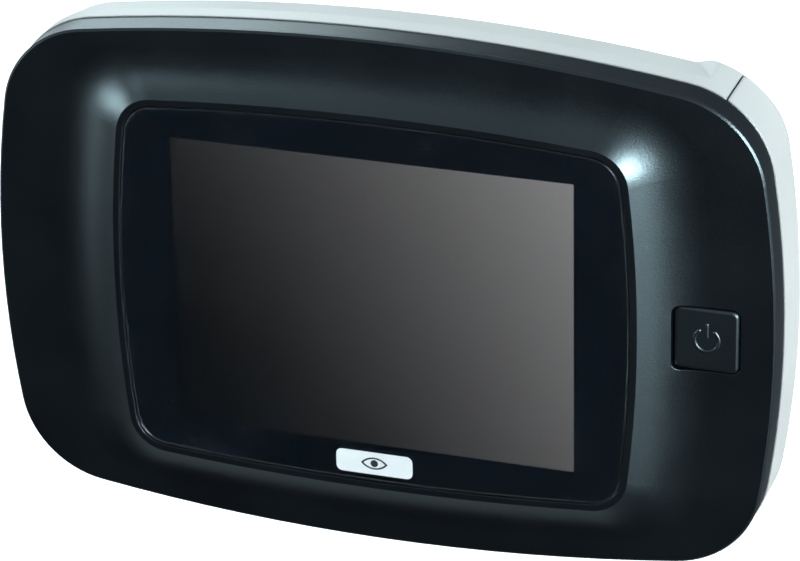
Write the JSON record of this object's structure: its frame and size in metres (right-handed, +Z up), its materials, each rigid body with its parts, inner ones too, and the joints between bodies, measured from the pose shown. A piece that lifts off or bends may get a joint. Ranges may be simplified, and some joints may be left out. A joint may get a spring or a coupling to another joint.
{
  "type": "digital door viewer monitor",
  "caption": "Indoor monitor of an electronic door viewer: colour screen in a coved black frame, power button, silver rear housing with a sliding battery cover, hung on a steel door plate.",
  "frame": {"origin": "centre of the camera barrel's hole, on the face of the steel plate that lies against the door", "axes": "+X to the right as seen by a person looking at the screen, +Y into the door, +Z up; the screen faces -Y"},
  "size_m": [0.1266, 0.0224, 0.0856],
  "materials": {
    "black_plastic": "fine-textured satin black",
    "silver_plastic": "satin silver-white",
    "clear_window": "polished clear acrylic",
    "button_plastic": "satin black",
    "lcd_glass": "smooth dark",
    "pressed_steel": "pressed bright steel",
    "foam": "matt closed-cell foam",
    "tape": "matt adhesive tape",
    "flex_amber": "amber polyimide",
    "board_green": "solder mask",
    "chip_black": "moulded epoxy",
    "can_aluminium": "drawn aluminium",
    "connector_white": "natural nylon",
    "switch_black": "moulded",
    "wire_red": "insulated wire",
    "cell_wrap": "printed sleeve",
    "spring_steel": "nickel-plated",
    "screw_steel": "zinc-plated",
    "plate_steel": "brushed sheet"
  },
  "bodies": {
    "door_plate": {"door_plate": "plate_steel"},
    "monitor": {"front_frame": "black_plastic", "display_window": "clear_window", "window_tape": "tape", "lcd_panel": "lcd_glass", "lcd_backlight": "pressed_steel", "lcd_gasket": "foam", "lcd_ribbon": "flex_amber", "main_board": "board_green", "processor_chip": "chip_black", "memory_chips": "chip_black", "capacitors": "can_aluminium", "power_coils": "chip_black", "ribbon_socket": "connector_white", "camera_socket": "connector_white", "button_board": "board_green", "switch_body": "switch_black", "button_leads": "wire_red", "rear_housing": "silver_plastic", "battery_1": "cell_wrap", "battery_2": "cell_wrap", "battery_3": "cell_wrap", "battery_contacts": "spring_steel", "battery_springs": "spring_steel", "housing_screws": "screw_steel", "board_screws": "screw_steel", "button_board_screws": "screw_steel"},
    "power_button": {"power_button": "button_plastic"},
    "switch_plunger": {"switch_plunger": "connector_white"},
    "battery_cover": {"battery_cover": "silver_plastic"}
  },
  "joints": [
    {"name": "lift_off_hooks", "type": "slide", "parent": "door_plate", "child": "monitor", "axis": [0, 0, 1], "range_m": [0, 0.005]},
    {"name": "button_press", "type": "slide", "parent": "monitor", "child": "power_button", "axis": [0, 1, 0], "range_m": [0, 0.00025], "stiffness_N_per_m": 2000, "springref_m": -0.0004},
    {"name": "plunger_press", "type": "slide", "parent": "monitor", "child": "switch_plunger", "axis": [0, 1, 0], "range_m": [0, 0.00025]},
    {"name": "cover_slide", "type": "slide", "parent": "monitor", "child": "battery_cover", "axis": [1, 0, 0], "range_m": [0, 0.034]}
  ],
  "couplings": [
    {"joint": "plunger_press", "follows": "button_press", "ratio": 1}
  ]
}
